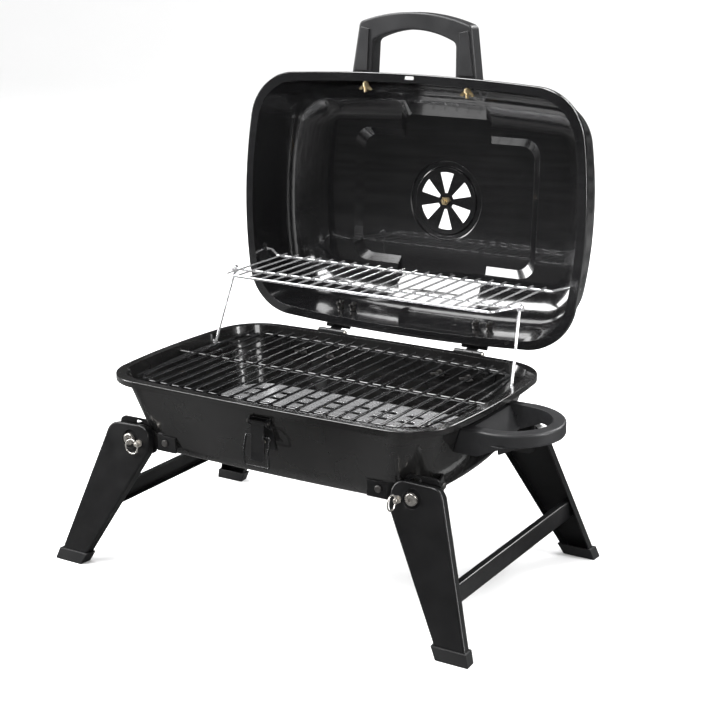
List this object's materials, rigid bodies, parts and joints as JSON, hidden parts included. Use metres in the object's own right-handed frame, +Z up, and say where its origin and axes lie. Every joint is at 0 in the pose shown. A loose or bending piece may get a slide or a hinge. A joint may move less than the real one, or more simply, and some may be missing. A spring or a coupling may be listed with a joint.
{
  "type": "folding camp grill",
  "caption": "Portable charcoal grill: enamelled bowl and hinged lid, lifting warming rack, wire cooking grate, charcoal tray, front latch, side handle and inward-folding locking legs.",
  "frame": {"origin": "on the floor, below the middle of the whole grill's box as it stands open", "axes": "+X toward the side handle, +Y toward the lid hinge, +Z up"},
  "size_m": [0.5562, 0.4514, 0.6043],
  "materials": {
    "black_enamel": "glossy porcelain enamel",
    "black_paint": "satin heat-resistant paint",
    "tray_steel": "plated sheet",
    "grate_wire": "enamelled wire",
    "chrome_wire": "bright plated wire",
    "black_wire": "satin black wire",
    "handle_plastic": "fine-grained moulded plastic",
    "foot_plastic": "moulded plastic",
    "brass_plate": "yellow-passivated plating",
    "zinc_plate": "zinc plated"
  },
  "bodies": {
    "bowl_body": {"bowl": "black_enamel", "grate_rests": "black_paint", "hinge_leaf_bowl_left": "black_paint", "hinge_leaf_bowl_right": "black_paint", "hinge_pin_left": "zinc_plate", "hinge_pin_right": "zinc_plate", "hinge_bolts_bowl": "zinc_plate", "hinge_wing_nuts_bowl": "zinc_plate", "latch_base": "black_paint", "latch_pin": "zinc_plate", "latch_screw": "zinc_plate", "side_handle": "handle_plastic", "side_handle_screws": "zinc_plate", "leg_bracket_front_left": "black_paint", "leg_bracket_front_right": "black_paint", "leg_bracket_back_left": "black_paint", "leg_bracket_back_right": "black_paint", "bracket_screws": "zinc_plate", "bracket_nuts": "zinc_plate", "pivot_bolts": "zinc_plate", "pivot_sleeves": "zinc_plate", "pivot_nuts": "zinc_plate"},
    "lid_body": {"lid": "black_enamel", "lid_handle": "handle_plastic", "lid_handle_screws": "brass_plate", "lid_handle_wing_nuts": "brass_plate", "hinge_leaf_lid_left": "black_paint", "hinge_leaf_lid_right": "black_paint", "hinge_bolts_lid": "zinc_plate", "hinge_wing_nuts_lid": "zinc_plate", "vent_screw": "brass_plate", "vent_nut": "brass_plate"},
    "damper": {"vent_damper": "black_paint"},
    "rack": {"warming_rack": "chrome_wire"},
    "arm_left": {"rack_arm_left": "chrome_wire"},
    "arm_right": {"rack_arm_right": "chrome_wire"},
    "grate": {"cooking_grate": "grate_wire"},
    "tray": {"charcoal_tray": "tray_steel"},
    "lever": {"latch_lever": "black_paint"},
    "bail": {"latch_bail": "black_wire"},
    "legs_left": {"leg_front_left": "black_paint", "leg_back_left": "black_paint", "foot_cap_front_left": "foot_plastic", "foot_cap_back_left": "foot_plastic", "crossbar_left": "black_paint"},
    "pin_left": {"lock_pin_left": "zinc_plate"},
    "ring_left": {"split_ring_left": "brass_plate"},
    "legs_right": {"leg_front_right": "black_paint", "leg_back_right": "black_paint", "foot_cap_front_right": "foot_plastic", "foot_cap_back_right": "foot_plastic", "crossbar_right": "black_paint"},
    "pin_right": {"lock_pin_right": "zinc_plate"},
    "ring_right": {"split_ring_right": "brass_plate"}
  },
  "joints": [
    {"name": "lid_hinge", "type": "hinge", "parent": "bowl_body", "child": "lid_body", "pos_m": [-0.00991, 0.09968, 0.219], "axis": [1, 0, 0], "range_deg": [0, 93]},
    {"name": "rack_hook", "type": "hinge", "parent": "lid_body", "child": "rack", "pos_m": [-0.00991, 0.13298, 0.304], "axis": [1, 0, 0], "range_deg": [-93, 0]},
    {"name": "rack_arm_left_foot", "type": "hinge", "parent": "bowl_body", "child": "arm_left", "pos_m": [-0.20991, 0.00068, 0.215], "axis": [1, 0, 0], "range_deg": [0, 93]},
    {"name": "rack_arm_right_foot", "type": "hinge", "parent": "bowl_body", "child": "arm_right", "pos_m": [0.19009, 0.00068, 0.215], "axis": [1, 0, 0], "range_deg": [0, 93]},
    {"name": "vent_turn", "type": "hinge", "parent": "lid_body", "child": "damper", "pos_m": [-0.00991, 0.21534, 0.37186], "axis": [0, 0.9986, -0.0523], "range_deg": [0, 30]},
    {"name": "grate_lift", "type": "slide", "parent": "bowl_body", "child": "grate", "axis": [0, 0, 1], "range_m": [0, 0.01]},
    {"name": "tray_lift", "type": "slide", "parent": "bowl_body", "child": "tray", "axis": [0, 0, 1], "range_m": [0, 0.03]},
    {"name": "legs_right_fold", "type": "hinge", "parent": "bowl_body", "child": "legs_right", "pos_m": [0.17209, -0.06202, 0.149], "axis": [0, 1, 0], "range_deg": [0, 95]},
    {"name": "legs_left_fold", "type": "hinge", "parent": "bowl_body", "child": "legs_left", "pos_m": [-0.19191, -0.06202, 0.149], "axis": [0, -1, 0], "range_deg": [0, 95]},
    {"name": "lock_pin_right_pull", "type": "slide", "parent": "legs_right", "child": "pin_right", "axis": [0, -1, 0], "range_m": [0, 0.012]},
    {"name": "lock_pin_left_pull", "type": "slide", "parent": "legs_left", "child": "pin_left", "axis": [0, -1, 0], "range_m": [0, 0.012]},
    {"name": "ring_right_swing", "type": "hinge", "parent": "pin_right", "child": "ring_right", "pos_m": [0.15724, -0.19402, 0.14691], "axis": [0, 0, 1], "range_deg": [-55, 55]},
    {"name": "ring_left_swing", "type": "hinge", "parent": "pin_left", "child": "ring_left", "pos_m": [-0.17706, -0.19402, 0.14691], "axis": [-0.5, 0, 0.866], "range_deg": [0, 100]},
    {"name": "latch_lever_hinge", "type": "hinge", "parent": "bowl_body", "child": "lever", "pos_m": [-0.00691, -0.19862, 0.2035], "axis": [-1, 0, 0], "range_deg": [0, 90]},
    {"name": "latch_bail_hinge", "type": "hinge", "parent": "lever", "child": "bail", "pos_m": [-0.00691, -0.19942, 0.188], "axis": [-1, 0, 0], "range_deg": [0, 60]}
  ],
  "couplings": [
    {"joint": "rack_hook", "follows": "lid_hinge", "ratio": -1},
    {"joint": "rack_arm_left_foot", "follows": "lid_hinge", "ratio": 1},
    {"joint": "rack_arm_right_foot", "follows": "lid_hinge", "ratio": 1}
  ]
}
